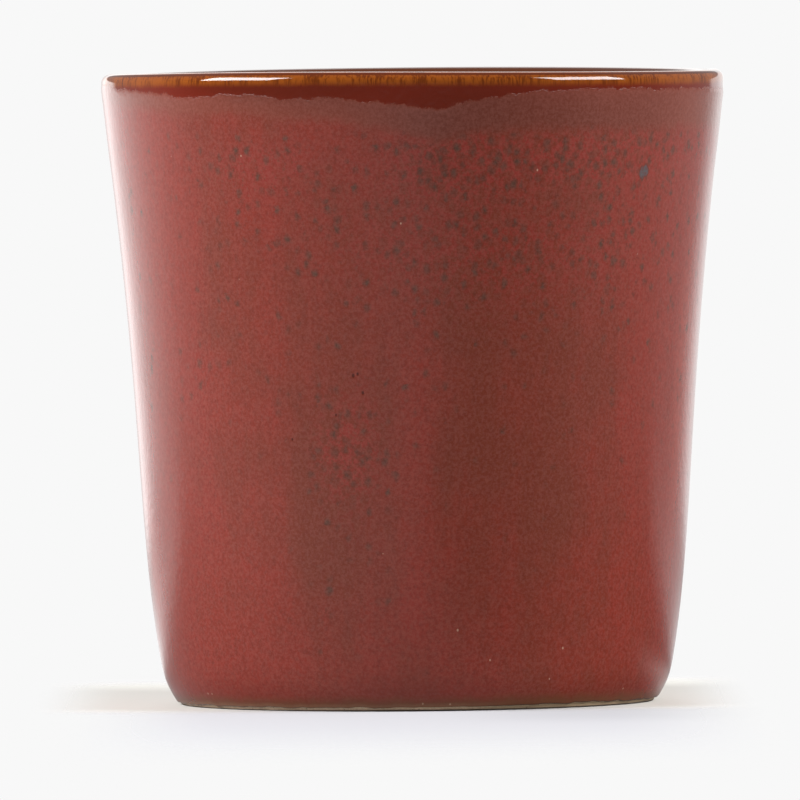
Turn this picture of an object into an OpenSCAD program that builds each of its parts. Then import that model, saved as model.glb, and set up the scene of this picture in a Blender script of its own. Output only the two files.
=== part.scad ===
// A handleless stoneware tumbler: one thrown and turned clay body under its fused coats of glaze.
// Each solid is a profile turned about the Z axis. Z is up and the foot ring rests on z = 0.
// The clay's line runs from the glaze line at the foot, up the wall, over the lip and down inside to
// the middle of the floor. Each coat is that line and the same line moved out by the coat's thickness,
// so clay and glaze meet face to face. Lengths are in millimetres and angles in degrees.

/* [Cup] */
// Height of the finished cup, from the resting plane to the top of the lip
cup_h = 81; // [66:0.5:100]
// Diameter of the finished cup over its mouth
mouth_d = 80; // [72:0.5:96]
// Diameter of the finished cup over its heel, where the wall turns in to the foot
heel_d = 65.8; // [63:0.2:72]
// Height of the heel above the resting plane
heel_h = 5.2; // [3.5:0.1:8]
// Lean of the wall out from upright just above the heel
heel_lean = 10; // [0:0.5:14]
// Lean of the wall out from upright just under the lip
lip_lean = 7.5; // [0:0.5:12]

/* [Lip] */
// Thickness of the finished lip
lip_t = 3; // [2.2:0.1:4]
// Radius of the finished lip's outer edge
lip_edge_r = 1.2; // [0.7:0.1:1.5]
// Drop from the top of the lip to the line where the lip's coat meets the outer coat
break_drop = 2.9; // [2.2:0.1:6]
// How far the upright band under the lip leans in at that line
band_draft = 0.15; // [0:0.05:0.6]

/* [Inside] */
// Thickness that the wall would have at the heel if the inside ran straight down to it
base_wall_t = 3.4; // [2.6:0.1:5]
// Thickness of the clay floor above the recess
floor_t = 3.6; // [2.6:0.1:6]
// Radius of the corner between the floor and the wall
corner_r = 8; // [4:0.5:14]
// Depth of the shallow dish in the floor
dish_h = 0.4; // [0:0.1:1]

/* [Foot] */
// Outer diameter of the foot ring's flat resting face
foot_d = 60.8; // [58:0.2:62]
// Width of the resting face
foot_face_w = 4; // [2.5:0.1:6]
// Height of the bare bevel round the foot, up to the glaze line
bare_h = 0.6; // [0.3:0.05:1.2]
// How far the bare bevel stands out past the resting face
bare_w = 0.25; // [0.1:0.05:0.6]
// Depth of the recess inside the foot ring
recess_h = 1.8; // [1:0.1:3]
// Width of the slope from the foot ring up to the recess
slope_w = 2.4; // [1.5:0.1:4]

/* [Glaze] */
// Thickness of the outer coat on the wall
outer_coat_t = 0.45; // [0.2:0.05:0.8]
// Thickness of the roll in which the outer coat stops above the foot
roll_t = 0.5; // [0.3:0.05:0.9]
// Thickness of the coat over the lip, where the glaze breaks thin
lip_coat_t = 0.3; // [0.15:0.05:0.5]
// Thickness of the inner coat
inner_coat_t = 0.4; // [0.2:0.05:0.8]
// Thickness of the coat in the recess
recess_coat_t = 0.35; // [0.15:0.05:0.6]

/* [Hidden] */
$fn = 180;

// Steps along the heel, the wall, each side of the lip, the inside wall, the corner and the floor
heel_n = 14;
wall_n = 26;
lip_n = 8;
inside_n = 22;
corner_n = 12;
floor_n = 8;
// Steps along the recess's ceiling and its slope, and how many of the slope's are glazed
ceiling_n = 2;
slope_n = 8;
slope_glazed_n = 6;
// Steps in which a coat's end rounds off, and in which one coat's thickness passes into the next's
round_n = 3;
blend_n = 3;

// Direction of the heel as it leaves the glaze line, from upright
heel_start_lean = 30;
// Shares of a curve's height that its two handles reach
heel_low_share = 0.3;
heel_high_share = 0.5;
wall_low_share = 0.25;
wall_high_share = 0.55;
inside_low_share = 0.3;
inside_high_share = 0.45;
// Share of a quarter round's radius that its handles reach, and of an easy slope's width
round_share = 0.55;
ease_share = 0.5;

// The clay under the glaze
clay_h = cup_h - lip_coat_t;
clay_mouth_r = mouth_d / 2 - lip_coat_t;
clay_lip_t = lip_t - 2 * lip_coat_t;
clay_edge_r = lip_edge_r - lip_coat_t;
clay_inner_edge_r = clay_lip_t - clay_edge_r;
clay_heel_r = heel_d / 2 - outer_coat_t;
clay_inside_r = heel_d / 2 - base_wall_t;
foot_r = foot_d / 2;
foot_inner_r = foot_r - foot_face_w;
ceiling_r = foot_inner_r - slope_w;
floor_z = recess_h + floor_t;
crest_r = clay_mouth_r - clay_edge_r;

// Turning points of the clay's line
glaze_line = [foot_r + bare_w, bare_h];
heel = [clay_heel_r, heel_h];
break_line = [clay_mouth_r - band_draft, cup_h - break_drop];
inner_lip = [crest_r - clay_inner_edge_r, clay_h - clay_inner_edge_r];
corner_top = [clay_inside_r, floor_z + corner_r];
corner_foot = [clay_inside_r - corner_r, floor_z];
floor_middle = [0, floor_z - dish_h];

// Unit step along a line that leans out from upright by an angle
function leaning(angle) = [sin(angle), cos(angle)];

// Points of a cubic curve from p0 to p3 with handles at p1 and p2, in n steps
function curve(p0, p1, p2, p3, n) = [
    for (i = [0:n])
        let (t = i / n, u = 1 - t)
        u * u * u * p0 + 3 * u * u * t * p1 + 3 * u * t * t * p2 + t * t * t * p3
];

// Points of an arc about a centre, from one angle to another
function arc(centre, r, from, to, n) = [
    for (i = [0:n])
        let (a = from + (to - from) * i / n)
        centre + r * [cos(a), sin(a)]
];

// A list without its first point, for a stretch that goes on from the one before
function rest(points) = [for (i = [1:len(points) - 1]) points[i]];

// A curve between two points that leaves the low one and meets the high one at the given leans
function rise(low, high, low_lean, high_lean, low_share, high_share, n) =
    let (h = high[1] - low[1])
    curve(low, low + h * low_share * leaning(low_lean),
          high - h * high_share * leaning(high_lean), high, n);

function backwards(points) = [for (i = [len(points) - 1:-1:0]) points[i]];

heel_line = rise(glaze_line, heel, heel_start_lean, heel_lean, heel_low_share, heel_high_share, heel_n);
wall_line = rise(heel, break_line, heel_lean, lip_lean, wall_low_share, wall_high_share, wall_n);
lip_line = concat(
    arc([crest_r, clay_h - clay_edge_r], clay_edge_r, 0, 90, lip_n),
    rest(arc([crest_r, clay_h - clay_inner_edge_r], clay_inner_edge_r, 90, 180, lip_n))
);
inside_line = backwards(
    rise(corner_top, inner_lip, heel_lean, lip_lean, inside_low_share, inside_high_share, inside_n)
);
corner_line = curve(
    corner_top, corner_top - corner_r * round_share * leaning(heel_lean),
    corner_foot + [corner_r * round_share, 0], corner_foot, corner_n
);
floor_line = curve(
    corner_foot, corner_foot - [corner_foot[0] * ease_share, 0],
    floor_middle + [corner_foot[0] * ease_share, 0], floor_middle, floor_n
);
clay_line = concat(
    heel_line, rest(wall_line), lip_line, rest(inside_line), rest(corner_line), rest(floor_line)
);

// Places in the line where one coat ends and the next begins
break_i = heel_n + wall_n;
inner_i = break_i + 1 + 2 * lip_n;
last_i = len(clay_line) - 1;

// The recess's line, from its middle out over the ceiling and down the slope to the foot ring
recess_line = concat(
    [for (i = [0:ceiling_n]) [ceiling_r * i / ceiling_n, recess_h]],
    rest(curve([ceiling_r, recess_h], [ceiling_r + slope_w * ease_share, recess_h],
               [foot_inner_r, recess_h * ease_share], [foot_inner_r, 0], slope_n))
);
recess_glazed_i = ceiling_n + slope_glazed_n;

// A smooth pass from 0 to 1
function smooth(x) = let (t = max(0, min(1, x))) t * t * (3 - 2 * t);

// Rounded rise from 0 to 1 over the first few steps of a coat
function rounding(steps) = sin(90 * min(1, steps / round_n));

// Thickness of the glaze over one point of the clay's line
function coat_t(i) =
    i <= break_i
        ? rounding(i) * (
            outer_coat_t
            + (roll_t - outer_coat_t) * (1 - smooth(i / heel_n))
            + (lip_coat_t - outer_coat_t) * smooth((i - break_i + blend_n) / blend_n)
        )
        : lip_coat_t + (inner_coat_t - lip_coat_t) * smooth((i - inner_i) / blend_n);

// Thickness of the glaze over one point of the recess's line
function recess_t(i) = recess_coat_t * rounding(recess_glazed_i - i);

// Outward direction of a line at one of its points, at right angles to its neighbours
function outward(line, i) =
    let (along = line[min(i + 1, len(line) - 1)] - line[max(i - 1, 0)], l = norm(along))
    [along[1], -along[0]] / l;

// One point of a line moved out by a thickness. A point on the axis stays on the axis.
function glazed(line, i, t) =
    let (p = line[i] + t * outward(line, i))
    [line[i][0] > 0 ? p[0] : 0, p[1]];

// Outline of the coat between two places in the clay's line
function coat(from, to) = concat(
    [for (i = [from:to]) if (coat_t(i) > 0) glazed(clay_line, i, coat_t(i))],
    [for (i = [to:-1:from]) clay_line[i]]
);

recess_coat = concat(
    [for (i = [0:recess_glazed_i]) if (recess_t(i) > 0) glazed(recess_line, i, recess_t(i))],
    [for (i = [recess_glazed_i:-1:0]) recess_line[i]]
);

// The clay: wall, lip, floor and turned foot ring are one piece
module clay_body() {
    color("tan")
        rotate_extrude()
            polygon(concat(clay_line, recess_line, [[foot_r, 0]]));
}

// Red coat over the whole outside wall, which stops in a roll above the bare foot
module outer_glaze() {
    color("firebrick")
        rotate_extrude()
            polygon(coat(0, break_i));
}

// Thin dark amber coat over the lip
module lip_glaze() {
    color("saddlebrown")
        rotate_extrude()
            polygon(coat(break_i, inner_i));
}

// Brown coat over the whole inside
module inner_glaze() {
    color("maroon")
        rotate_extrude()
            polygon(coat(inner_i, last_i));
}

// Coat in the recess under the floor, which leaves the foot ring bare
module recess_glaze() {
    color("brown")
        rotate_extrude()
            polygon(recess_coat);
}

clay_body();
outer_glaze();
lip_glaze();
inner_glaze();
recess_glaze();
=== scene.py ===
import math
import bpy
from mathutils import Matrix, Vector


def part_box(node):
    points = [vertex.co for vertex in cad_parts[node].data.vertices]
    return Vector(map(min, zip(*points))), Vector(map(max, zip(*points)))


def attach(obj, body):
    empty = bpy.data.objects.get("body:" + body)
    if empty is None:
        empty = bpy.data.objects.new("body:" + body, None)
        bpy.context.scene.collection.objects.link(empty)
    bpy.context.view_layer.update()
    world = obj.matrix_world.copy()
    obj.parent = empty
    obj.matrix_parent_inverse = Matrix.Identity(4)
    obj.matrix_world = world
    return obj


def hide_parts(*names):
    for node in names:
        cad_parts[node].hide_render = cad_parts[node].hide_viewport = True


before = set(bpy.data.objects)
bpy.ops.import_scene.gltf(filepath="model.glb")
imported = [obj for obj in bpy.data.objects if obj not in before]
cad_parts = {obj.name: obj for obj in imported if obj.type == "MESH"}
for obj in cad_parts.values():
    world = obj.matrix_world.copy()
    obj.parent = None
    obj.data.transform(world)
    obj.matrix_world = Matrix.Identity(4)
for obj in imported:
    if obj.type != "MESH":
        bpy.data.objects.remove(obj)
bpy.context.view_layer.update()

from types import SimpleNamespace

import bpy
import numpy as np
from mathutils import Quaternion, Vector

# A handleless stoneware tumbler. One line, turned about the axis, is the clay: recess, foot, wall, lip
# and inside. Each coat of glaze is a stretch of that line and the same stretch moved out. Shapes are
# worked out in millimetres; angles run in degrees from the camera's side (-Y) towards +X.
MM = 0.001


def measured(node):
    """Widest radius, lowest height and highest height of a CAD node, in millimetres."""
    low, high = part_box(node)
    return high.x / MM, low.z / MM, high.z / MM


CLAY_R, _, CLAY_H = measured("clay_body")
MOUTH_R, _, CUP_H = measured("lip_glaze")
_, GLAZE_Z, BREAK_Z = measured("outer_glaze")
_, FLOOR_MIDDLE_Z, _ = measured("inner_glaze")
_, _, RECESS_H = measured("recess_glaze")

# Clay
HEEL_R = 32.45
HEEL_Z = 5.2
HEEL_LEAN = math.radians(10)
HEEL_START_LEAN = math.radians(30)
LIP_LEAN = math.radians(7.5)
BAND_DRAFT = 0.15
OUTER_EDGE_R = 0.9
INNER_EDGE_R = 1.5
INSIDE_R = 29.5
CORNER_R = 8.0
FLOOR_Z = 5.4
FOOT_R = 30.4
FOOT_FACE_W = 4.0
BARE_W = 0.25
FOOT_EASE = 0.25
SLOPE_W = 2.4

# Shares of a climb's height, and of a corner's radius, that the handles of its curve reach
HEEL_SHARES = (0.3, 0.5)
WALL_SHARES = (0.25, 0.55)
INSIDE_SHARES = (0.3, 0.45)
ROUND_SHARE = 0.55

# Steps of a curve, of a quarter circle and of an eased corner of the foot
CURVE_STEPS, ARC_STEPS, EASE_STEPS = 160, 60, 12

# Points of the line closer than this are one point. Its direction is read this far to either side, and
# is divided by no less than the least length.
SAME_POINT = 1e-7
DIRECTION_REACH = 0.12
LEAST_LENGTH = 1e-9

# Height on the clay's outside, close under the lip's edge, from which distances over it are measured
AMBER_Z = 79.75

# Glaze
LIP_COAT = CUP_H - CLAY_H
WALL_COAT = 0.45
INNER_COAT = 0.4
RECESS_COAT = 0.35
COAT_SINK = 0.03
FOOT_COAT = 0.38
FOOT_ROUND_W = 0.35
FOOT_COAT_FADE = 3.5
WALL_THIN_H = 8.0
INNER_THICKEN_L = 8.0

# The upright band under the lip, and how far the turn up to it is spread
BAND_LEAN = math.radians(0.5)
BULGE_FADE = 11.0
BAND_TURN_L = 0.12
BAND_TURN_DROP = 0.30
JAG_FADE = 0.8

# How far a coat runs on under its neighbour, and rows of corners close about such a seam
TUCK_L = 0.15
SEAM_ROWS = np.array([[-0.01], [0], [0.01], [TUCK_L]])

# Height that the thrown lip stands above the plain one, on average
LIP_RISE = 0.26
# Where the thrown lip stands higher still, as (direction, half width, height)
LIP_SWELLS = [(-135, 38, 0.17), (-82, 16, 0.12), (165, 30, 0.05), (88, 12, 0.08)]
# The lip's wave, and the oval that the cup is thrown to, as (turns, direction, amount)
LIP_WAVE = [(2, -18, 0.20), (3, -40, 0.05)]
OVAL = [(2, 60, 0.10), (3, -20, 0.04)]
# The wave grows from this height up. Both fade out this near the axis.
WAVE_FROM_Z = 45
AXIS_FADE_R = 20

# Columns of corners round the coats of the wall and lip, the coats inside and below, and the clay
COLUMNS = 720
INSIDE_COLUMNS = 480
CLAY_COLUMNS = 360
# Radius of the small hole that a grid leaves about the axis, which a fan of triangles closes
AXIS_GAP = 0.2


def smooth(x):
    """3t^2 - 2t^3 with t = x held between 0 and 1."""
    t = np.clip(x, 0, 1)
    return t * t * (3 - 2 * t)


def between(x, start, rise, end, fall):
    """A smooth pass up from start, over rise, times a smooth pass down from end, over fall."""
    return smooth((x - start) / rise) * (1 - smooth((x - end) / fall))


def quarter_round(x):
    """Height of a quarter circle of radius 1 at distance x from its foot: sqrt(1 - (1 - x)^2)."""
    return np.sqrt(1 - (1 - np.clip(x, 0, 1)) ** 2)


def bell(x, middle, width):
    """exp(-((x - middle) / width)^2)."""
    return np.exp(-(((x - middle) / width) ** 2))


def turned(angle, middle):
    """Angle from a direction, in degrees between -180 and 180."""
    return (angle - middle + 180) % 360 - 180


def swings(angle, parts):
    """Sum of amount * cos(turns * (angle - middle)) over (turns, middle, amount), angles in degrees."""
    return sum(amount * np.cos(np.radians(turns * (angle - middle))) for turns, middle, amount in parts)


def swells(angle, parts):
    """Sum of amount * bell(angle from middle) over (middle, half width, amount)."""
    return sum(amount * bell(turned(angle, middle), 0, width) for middle, width, amount in parts)


def clustered(angle, z, clusters):
    """Sum of amount * bell(direction) * bell(height) over a list of clusters."""
    return sum(amount * bell(turned(angle, at), 0, width) * bell(z, height, reach)
               for at, height, width, reach, amount in clusters)


def leaning(angle):
    """Unit step that leans out from upright by an angle: (sin a, cos a)."""
    return np.array([math.sin(angle), math.cos(angle)])


def curve(p0, p1, p2, p3, n=CURVE_STEPS):
    """Cubic curve u^3 p0 + 3 u^2 t p1 + 3 u t^2 p2 + t^3 p3, with u = 1 - t and n steps of t."""
    t = np.linspace(0, 1, n + 1)[:, None]
    u = 1 - t
    p0, p1, p2, p3 = (np.asarray(p, float) for p in (p0, p1, p2, p3))
    return u**3 * p0 + 3 * u * u * t * p1 + 3 * u * t * t * p2 + t**3 * p3


def arc(centre, radius, start, end):
    """Points of a circle: centre + radius (cos a, sin a), a from start to end degrees."""
    a = np.radians(np.linspace(start, end, ARC_STEPS + 1))
    return np.asarray(centre) + radius * np.stack([np.cos(a), np.sin(a)], 1)


def rise(low, high, low_lean, high_lean, shares):
    """Cubic curve that leaves low and meets high at two leans from upright. Its handles reach two shares
    of the height along those leans."""
    low, high = np.asarray(low, float), np.asarray(high, float)
    h = high[1] - low[1]
    first = low + h * shares[0] * leaning(low_lean)
    last = high - h * shares[1] * leaning(high_lean)
    return curve(low, first, last, high)


class Line:
    """A profile of (radius, height) points made of named stretches, and read by its length in mm."""

    def __init__(self, stretches):
        points = [np.asarray(stretches[0][1][:1], float)]
        self.start, self.end = {}, {}
        for name, stretch in stretches:
            self.start[name] = self._length(points)
            points.append(np.asarray(stretch, float))
            self.end[name] = self._length(points)
        points = np.concatenate(points)
        step = np.hypot(*np.diff(points, axis=0).T)
        kept = np.concatenate([[True], step > SAME_POINT])
        self.points = points[kept]
        self.length = np.concatenate([[0], np.cumsum(step[kept[1:]])])

    @staticmethod
    def _length(points):
        joined = np.concatenate(points)
        return float(np.hypot(*np.diff(joined, axis=0).T).sum())

    def at(self, s):
        """Radius and height at length s, as the last axis."""
        return np.stack([np.interp(s, self.length, self.points[:, i]) for i in (0, 1)], -1)

    def outward(self, s):
        """Unit vector to the right of the way along the line: out of the clay."""
        along = self.at(s + DIRECTION_REACH) - self.at(s - DIRECTION_REACH)
        along /= np.maximum(np.linalg.norm(along, axis=-1, keepdims=True), LEAST_LENGTH)
        return np.stack([along[..., 1], -along[..., 0]], -1)

    def moved_out(self, s, distance):
        """Points of the line at length s, moved out of the clay: at(s) + outward(s) * distance."""
        return self.at(s) + self.outward(s) * np.asarray(distance)[..., None]

    def length_at_height(self, z):
        """Length at which the outside, which only climbs, reaches a height."""
        outside = (self.length >= self.start["bevel"]) & (self.length <= self.end["band"])
        return np.interp(z, self.points[outside, 1], self.length[outside])


def clay_profile():
    """The clay's whole line, from the middle of the recess out under the foot, up, over and in.

    Straight lines at the ceiling, the foot's face and bevel, and the band, quarter circles at the lip,
    and cubic curves for all the rest."""
    foot_inner_r = FOOT_R - FOOT_FACE_W
    ceiling_r = foot_inner_r - SLOPE_W
    slope = curve([ceiling_r, RECESS_H], [ceiling_r + SLOPE_W / 2, RECESS_H],
                  [foot_inner_r, RECESS_H / 2], [foot_inner_r, 0])
    slope = slope[slope[:, 1] > FOOT_EASE]
    inner_corner, outer_corner = [foot_inner_r, 0], [FOOT_R, 0]
    face_start, face_end = [foot_inner_r + FOOT_EASE, 0], [FOOT_R - FOOT_EASE, 0]
    bevel_start = [FOOT_R + BARE_W * FOOT_EASE / GLAZE_Z, FOOT_EASE]
    glaze_line, heel = [FOOT_R + BARE_W, GLAZE_Z], [HEEL_R, HEEL_Z]
    heel_rise = rise(glaze_line, heel, HEEL_START_LEAN, HEEL_LEAN, HEEL_SHARES)
    break_line = [CLAY_R - BAND_DRAFT, BREAK_Z]
    crest_r = CLAY_R - OUTER_EDGE_R
    inner_lip = [crest_r - INNER_EDGE_R, CLAY_H - INNER_EDGE_R]
    corner_top = np.array([INSIDE_R, FLOOR_Z + CORNER_R])
    corner_foot = np.array([INSIDE_R - CORNER_R, FLOOR_Z])
    corner_reach = CORNER_R * ROUND_SHARE
    half_floor_r = corner_foot[0] / 2
    return Line([
        ("ceiling", [[0, RECESS_H], [ceiling_r, RECESS_H]]),
        ("slope", slope),
        ("inner ease", curve(slope[-1], inner_corner, inner_corner, face_start, EASE_STEPS)),
        ("face", [face_start, face_end]),
        ("bevel", curve(face_end, outer_corner, outer_corner, bevel_start, EASE_STEPS)),
        ("heel", np.concatenate([[glaze_line], heel_rise])),
        ("wall", rise(heel, break_line, HEEL_LEAN, LIP_LEAN, WALL_SHARES)),
        ("band", [break_line, [CLAY_R, CLAY_H - OUTER_EDGE_R]]),
        ("outer edge", arc([crest_r, CLAY_H - OUTER_EDGE_R], OUTER_EDGE_R, 0, 90)),
        ("inner edge", arc([crest_r, CLAY_H - INNER_EDGE_R], INNER_EDGE_R, 90, 180)),
        ("inside", rise(corner_top, inner_lip, HEEL_LEAN, LIP_LEAN, INSIDE_SHARES)[::-1]),
        ("corner", curve(corner_top, corner_top - corner_reach * leaning(HEEL_LEAN),
                         corner_foot + [corner_reach, 0], corner_foot)),
        ("floor", curve(corner_foot, [half_floor_r, FLOOR_Z], [half_floor_r, FLOOR_MIDDLE_Z],
                        [0, FLOOR_MIDDLE_Z])),
    ])


CLAY = clay_profile()
EDGE_S = CLAY.end["band"]
INNER_S = CLAY.start["inside"]
AMBER_S = float(CLAY.length_at_height(AMBER_Z))

# Where the lip's coat ends outside: its drop below the top of the lip, with dips as (direction, half
# width, extra drop), and fine jags as (turns, direction, amount)
LIP_DROP = 2.10
LIP_DIPS = [(0, 19, 1.90), (4.5, 5, 0.75), (-24, 7, 0.90), (-44, 11, 1.00), (-80, 9, -0.75),
            (62, 14, 0.12), (100, 16, 1.2), (163, 11, 0.7), (-122, 14, 1.5), (-160, 8, 0.6)]
LIP_JAGS = [(17, 11, 0.03), (29, 3, 0.05), (47, 5, 0.05), (71, 1, 0.06), (103, 2, 0.05), (149, 7, 0.05)]

# Where the outer coat ends above the foot: its height above the table, with rises as (direction, half
# width, height), and fine jags as the lip's
FOOT_LINE = 0.58
FOOT_RISES = [(44, 20, 0.12), (68, 12, -0.12), (-60, 50, -0.15), (-86, 20, -0.12), (150, 25, 0.2),
              (-140, 20, 0.12)]
FOOT_JAGS = [(17, 4, 0.02), (31, 9, 0.03), (47, 2, 0.03), (73, 6, 0.02), (111, 1, 0.012)]
# Share of the foot's jags that is there from the front round to FOOT_JAG_FROM degrees on the right. It
# grows by 1 over the next FOOT_JAG_FADE degrees, and stays so round the back and the left.
FOOT_JAG_SHARE, FOOT_JAG_FROM, FOOT_JAG_FADE = 0.4, 15, 30


def lip_line_height(angle):
    """Height of the line where the lip's coat ends outside."""
    return CUP_H - (LIP_DROP + swells(angle, LIP_DIPS))


def foot_line_height(angle):
    """Height of the line where the outer coat ends above the foot."""
    jagged = FOOT_JAG_SHARE + smooth((angle - FOOT_JAG_FROM) / FOOT_JAG_FADE)
    return FOOT_LINE + swells(angle, FOOT_RISES) + jagged * swings(angle, FOOT_JAGS)


def coat_thickness(s):
    """Thickness of the glaze: even on the wall, thinner over the lip and thicker again inside.

    Outside it passes smoothly from one to the other over WALL_THIN_H of height below the break line,
    and inside over INNER_THICKEN_L of length."""
    z = CLAY.at(s)[..., 1]
    wall = WALL_COAT + (LIP_COAT - WALL_COAT) * smooth((z - BREAK_Z + WALL_THIN_H) / WALL_THIN_H)
    inside = LIP_COAT + (INNER_COAT - LIP_COAT) * smooth((s - INNER_S) / INNER_THICKEN_L)
    return np.where(s < EDGE_S, wall, inside)


def outside_bulge(s, angle, lip_line_s):
    """Radius added outside, so that the band from the lip's line to the lip's edge stands upright.

    Above the line it is the upright band's radius less the plain coat's. Below, the value at the line
    fades out over BULGE_FADE. The turn follows the line's jags only close to the line."""
    def short_of_band(length):
        length = np.minimum(length, EDGE_S)
        plain = CLAY.moved_out(length, coat_thickness(length))
        return MOUTH_R - (CLAY_H - OUTER_EDGE_R - plain[..., 1]) * math.tan(BAND_LEAN) - plain[..., 0]

    def turned_up(line_s):
        return short_of_band(line_s + BAND_TURN_L * np.logaddexp(0, (s - line_s) / BAND_TURN_L))

    smooth_line = lip_line_s - BAND_TURN_DROP
    jagged_line = smooth_line - swings(angle, LIP_JAGS)
    below = smooth_line - s
    plain_turn = turned_up(smooth_line)
    return (plain_turn * (1 - smooth(below / BULGE_FADE))
            + (turned_up(jagged_line) - plain_turn) * (1 - smooth(below / JAG_FADE)))


def tuck(beyond):
    """Depth below its full face of a coat that runs on past a seam, under its neighbour."""
    return COAT_SINK * np.clip(beyond / TUCK_L, 0, 1)


def warped(points, angle):
    """The handmade shape: (r + oval) sin a, -(r + oval) cos a, z + wave.

    The oval grows from the foot up and the lip's wave from WAVE_FROM_Z up. Both fade near the axis."""
    r, z = points[..., 0], points[..., 1]
    away = smooth(r / AXIS_FADE_R)
    oval = swings(angle, OVAL) * smooth(z / CUP_H)
    lip = LIP_RISE + swings(angle, LIP_WAVE) + swells(angle, LIP_SWELLS)
    wave = lip * smooth((z - WAVE_FROM_Z) / (CUP_H - WAVE_FROM_Z))
    r = r + oval * away
    z = z + wave * away
    turn = np.radians(angle)
    return np.stack([r * np.sin(turn), -r * np.cos(turn), z], -1)


def angles(columns):
    """Directions of a piece's columns in degrees, as one row."""
    return (np.arange(columns) * 360 / columns)[None, :]


def spread(count, fine_start=0.0, fine_end=0.0, share=0.25):
    """Shares from 0 to 1 in count steps, with a share of them spent on a fine stretch at either end."""
    start_n = int(count * share) if fine_start else 0
    end_n = int(count * share) if fine_end else 0
    middle_n = count - start_n - end_n
    parts = [np.linspace(0, fine_start, start_n + 1)[:-1],
             np.linspace(fine_start, 1 - fine_end, middle_n + 1),
             np.linspace(1 - fine_end, 1, end_n + 1)[1:]]
    return np.concatenate(parts)[:, None]


def signed_volume(points, faces):
    """Sum over triangles of a . (b x c) / 6: positive when the faces point out."""
    a, b, c = points[faces[:, 0]], points[faces[:, 1]], points[faces[:, 2]]
    return float(np.einsum("ij,ij->i", a, np.cross(b, c)).sum() / 6)


def added(name, mesh):
    """A new object at the origin that shows a mesh."""
    thing = bpy.data.objects.new(name, mesh)
    bpy.context.scene.collection.objects.link(thing)
    return thing


def turned_piece(name, grid, poles, values):
    """A closed piece from a grid of points, rows by columns, in millimetres.

    Columns close round the axis. Without poles the last row joins the first. With poles the first and
    last rows are drawn to a point on the axis. values holds a number for each grid point by name."""
    rows, columns = grid.shape[:2]
    points = grid.reshape(-1, 3)
    index = np.arange(rows * columns).reshape(rows, columns)
    low = index[:-1] if poles else index
    high = index[1:] if poles else np.roll(index, -1, axis=0)
    corners = [low, np.roll(low, -1, axis=1), np.roll(high, -1, axis=1), high]
    quads = np.stack(corners, -1).reshape(-1, 4)
    triangles = np.zeros((0, 3), int)
    if poles:
        ends = [index[0], index[-1][::-1]]
        middles = [[0, 0, grid[row, :, 2].mean()] for row in (0, -1)]
        points = np.concatenate([points, middles])
        fans = [np.stack([np.roll(ring, -1), ring, np.full(columns, rows * columns + i)], -1)
                for i, ring in enumerate(ends)]
        triangles = np.concatenate(fans)
    halves = np.concatenate([quads[:, [0, 1, 2]], quads[:, [0, 2, 3]], triangles])
    if signed_volume(points, halves) < 0:
        quads, triangles = quads[:, ::-1], triangles[:, ::-1]
    mesh = bpy.data.meshes.new(name)
    mesh.from_pydata(points * MM, [], quads.tolist() + triangles.tolist())
    mesh.polygons.foreach_set("use_smooth", np.ones(len(mesh.polygons), bool))
    for key, value in values.items():
        filled = np.broadcast_to(value, (rows, columns)).reshape(-1)
        if poles:
            filled = np.concatenate([filled, [filled[0], filled[-1]]])
        mesh.attributes.new(key, "FLOAT", "POINT").data.foreach_set("value", filled.astype(np.float32))
    mesh.update()
    return added(name, mesh)


# Clusters of dark speckles as (direction, height, half width, half height, amount)
SPECKLE_CLUSTERS = [
    (38, 70.5, 30, 3.4, 0.85), (8, 69.6, 13, 3.8, 0.62), (-32, 69, 12, 3.6, 0.60), (-14, 33, 8, 8.0, 0.75),
    (22, 58, 22, 8, 0.40), (50, 60, 16, 9, 0.35), (-8, 60, 24, 9, 0.30), (-14, 16, 12, 8, 0.25),
    (112, 66, 20, 6, 0.80), (158, 69, 24, 4, 0.90), (-118, 68, 26, 5, 0.70), (-158, 47, 13, 9, 0.60),
    (98, 36, 12, 9, 0.55), (178, 26, 16, 8, 0.45),
]
# Browner (above 0) and redder (below 0) clouds in the red glaze, as the clusters are given. The brown
# cloud in the front middle is painted shade, and the redder one low in the front middle is painted light
# thrown up from the floor.
TINTS_AND_PAINTED_SHADE = [
    (10, 58, 17, 30, 0.60), (33, 40, 6, 30, 0.35), (46, 50, 9, 30, 0.20), (-18, 27, 10, 18, 0.95),
    (28, 25, 5, 34, 0.35), (36, 70, 12, 5, 0.40), (-35, 60, 12, 12, 0.10), (73, 40, 10, 36, -1.20),
    (21, 20, 9, 22, 0.20), (-42, 10, 18, 10, -0.20), (-60, 60, 10, 22, -0.35), (-75, 18, 8, 16, -1.00),
    (-20, 79, 14, 3, 0.45), (6, 4, 20, 11, -0.20), (15, 76, 24, 4, 0.35), (52, 76, 16, 5, 0.30),
    (-32, 80, 18, 2.2, 0.70), (120, 50, 10, 30, 0.50), (-150, 30, 12, 26, 0.45), (170, 60, 16, 14, -0.35),
    (-100, 20, 14, 14, -0.4),
]
# Speckle between the clusters: the amount that comes and goes with height, the least amount, and the
# heights as (start, rise, end, fall)
SCATTER, LEAST_SCATTER = 0.16, 0.03
SCATTER_HEIGHTS = (10, 40, 70, 6)
# Streaks of brown and red down the wall as (turns, direction, amount), and their heights alike
STREAKS = [(7, 20, 0.10), (13, 70, 0.08), (22, 10, 0.06), (37, 5, 0.05)]
STREAK_HEIGHTS = (3, 12, 55, 20)

# Rows of the coats' faces and backs; where the ends are finer, as (count, fine start, fine end, share)
OUTER_ROWS = (104, 0.018, 0.018, 0.14)
OUTER_BACK_ROWS = 25
LIP_BAND_ROWS, LIP_OVER_ROWS = 20, 36
INNER_ROWS, INNER_BACK_ROWS = 150, 48
RECESS_ROWS = (70, 0, 0.04)

# The spiral that the potter's fingers leave inside: height, pitch, and lengths over which it comes
# below the lip and goes at the middle of the floor
SPIRAL_H, SPIRAL_PITCH, SPIRAL_COMES, SPIRAL_GOES = 0.045, 4.6, 16, 6

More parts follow.
